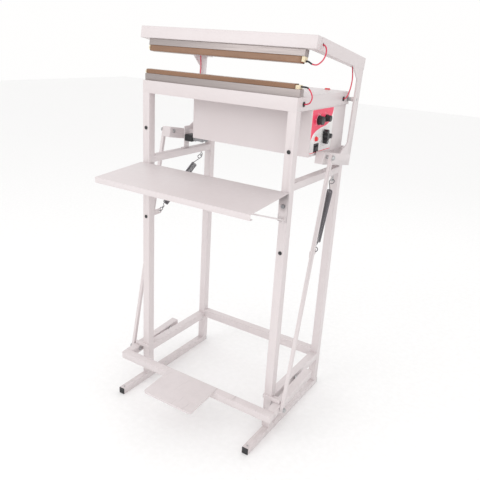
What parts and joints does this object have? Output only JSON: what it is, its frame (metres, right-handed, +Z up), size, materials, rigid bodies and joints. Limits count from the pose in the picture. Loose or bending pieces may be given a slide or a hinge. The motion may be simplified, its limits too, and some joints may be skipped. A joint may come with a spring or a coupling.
{
  "type": "impulse heat sealer",
  "caption": "Foot-operated impulse heat sealer: tube floor stand, hinged upper jaw worked by a pedal through pull rods, side control box and bag shelf.",
  "frame": {"origin": "centre of the bounding box's footprint, on the floor", "axes": "+Z up; -Y is the operator's side, where the jaws, the shelf and the pedal are; +X is the operator's right, the side with the control panel"},
  "size_m": [0.748, 0.6752, 1.414],
  "materials": {
    "paint": "satin powder coat, slightly warm white",
    "black_plastic": "matte black moulding",
    "zinc": "zinc plated",
    "spring_steel": "dark oiled spring steel",
    "aluminium": "extruded, dull",
    "release_sheet": "brown PTFE coated glass cloth",
    "silicone": "silicone rubber",
    "terminal": "brass clamp",
    "lead": "PVC insulation",
    "label": "printed film, red and white",
    "transformer": "varnished laminations",
    "board": "circuit board",
    "lamp": "translucent red lens",
    "gland": "grey nylon"
  },
  "bodies": {
    "frame": {"front_uprights": "paint", "rear_uprights": "paint", "front_beam": "paint", "top_rails": "paint", "rear_beams": "paint", "top_cover": "paint", "mid_rails": "paint", "low_rails": "paint", "rear_cross_rail": "paint", "foot_rails": "paint", "foot_caps": "black_plastic", "foot_screws": "zinc", "post_plugs": "black_plastic", "pedal_stops": "paint", "control_box": "paint", "label_panel": "label", "transformer": "transformer", "timer_board": "board", "rocker_housing": "black_plastic", "lamp": "lamp", "rail_grommets": "black_plastic", "cover_plug": "lamp", "junction_box": "black_plastic", "cable_gland": "gland", "gland_strap": "paint", "lower_jaw_bar": "aluminium", "lower_strip": "silicone", "lower_cover": "release_sheet", "lower_terminals": "terminal", "lower_leads": "lead", "cross_leads": "lead", "pivot_bolts": "zinc", "spring_eyes": "zinc", "springs": "spring_steel", "pedal_pins": "zinc"},
    "jaw_frame": {"upper_beam": "paint", "upper_arms": "paint", "vertical_bars": "paint", "lower_arms": "paint", "gussets": "paint", "upper_jaw_bar": "aluminium", "upper_strip": "silicone", "upper_cover": "release_sheet", "upper_terminals": "terminal", "upper_leads": "lead", "rod_pins_top": "zinc"},
    "rods": {"pull_rods": "paint"},
    "spring_hooks": {"spring_links": "spring_steel"},
    "pedal": {"pedal_bar": "paint", "pedal_arms": "paint", "tread_plate": "paint", "rod_pins_low": "zinc"},
    "shelf": {"shelf_plate": "paint", "shelf_brackets": "paint", "shelf_struts": "paint", "shelf_bolts": "spring_steel"},
    "time_dial": {"time_knob": "black_plastic"},
    "cool_dial": {"cool_knob": "black_plastic"},
    "selector": {"selector_knob": "black_plastic"},
    "switch": {"rocker": "black_plastic"}
  },
  "joints": [
    {"name": "jaw_hinge", "type": "hinge", "parent": "frame", "child": "jaw_frame", "pos_m": [0, 0.29865, 1.208], "axis": [1, 0, 0], "range_deg": [0, 9.2], "stiffness_Nm_per_rad": 60, "springref_deg": -57.3, "deforming": ["cross_leads"]},
    {"name": "rod_hinge", "type": "hinge", "parent": "jaw_frame", "child": "rods", "pos_m": [0, 0.08465, 1.03195], "axis": [1, 0, 0], "range_deg": [-10.98, 0]},
    {"name": "pedal_hinge", "type": "hinge", "parent": "frame", "child": "pedal", "pos_m": [0, 0.09065, 0.148], "axis": [1, 0, 0], "range_deg": [0, 7.9]},
    {"name": "spring_stretch", "type": "slide", "parent": "frame", "child": "spring_hooks", "axis": [0, 0.562, -0.8271], "range_m": [0, 0.0374], "deforming": ["springs"]},
    {"name": "shelf_slide", "type": "slide", "parent": "frame", "child": "shelf", "axis": [0, 0, 1], "range_m": [-0.1, 0.09]},
    {"name": "time_turn", "type": "hinge", "parent": "frame", "child": "time_dial", "pos_m": [0.309, 0.07265, 1.151], "axis": [1, 0, 0], "range_deg": [-150, 150]},
    {"name": "cool_turn", "type": "hinge", "parent": "frame", "child": "cool_dial", "pos_m": [0.309, 0.13165, 1.153], "axis": [1, 0, 0], "range_deg": [-150, 150]},
    {"name": "selector_turn", "type": "hinge", "parent": "frame", "child": "selector", "pos_m": [0.309, 0.12865, 1.093], "axis": [1, 0, 0], "range_deg": [-60, 60]},
    {"name": "rocker_tip", "type": "hinge", "parent": "frame", "child": "switch", "pos_m": [0.306, 0.06865, 1.06], "axis": [0, 1, 0], "range_deg": [-16, 0]}
  ],
  "couplings": [
    {"joint": "pedal_hinge", "follows": "jaw_hinge", "ratio": 0.8504},
    {"joint": "rod_hinge", "follows": "jaw_hinge", "ratio": -1.1889},
    {"joint": "spring_stretch", "follows": "jaw_hinge", "m_per_rad": 0.2317}
  ]
}
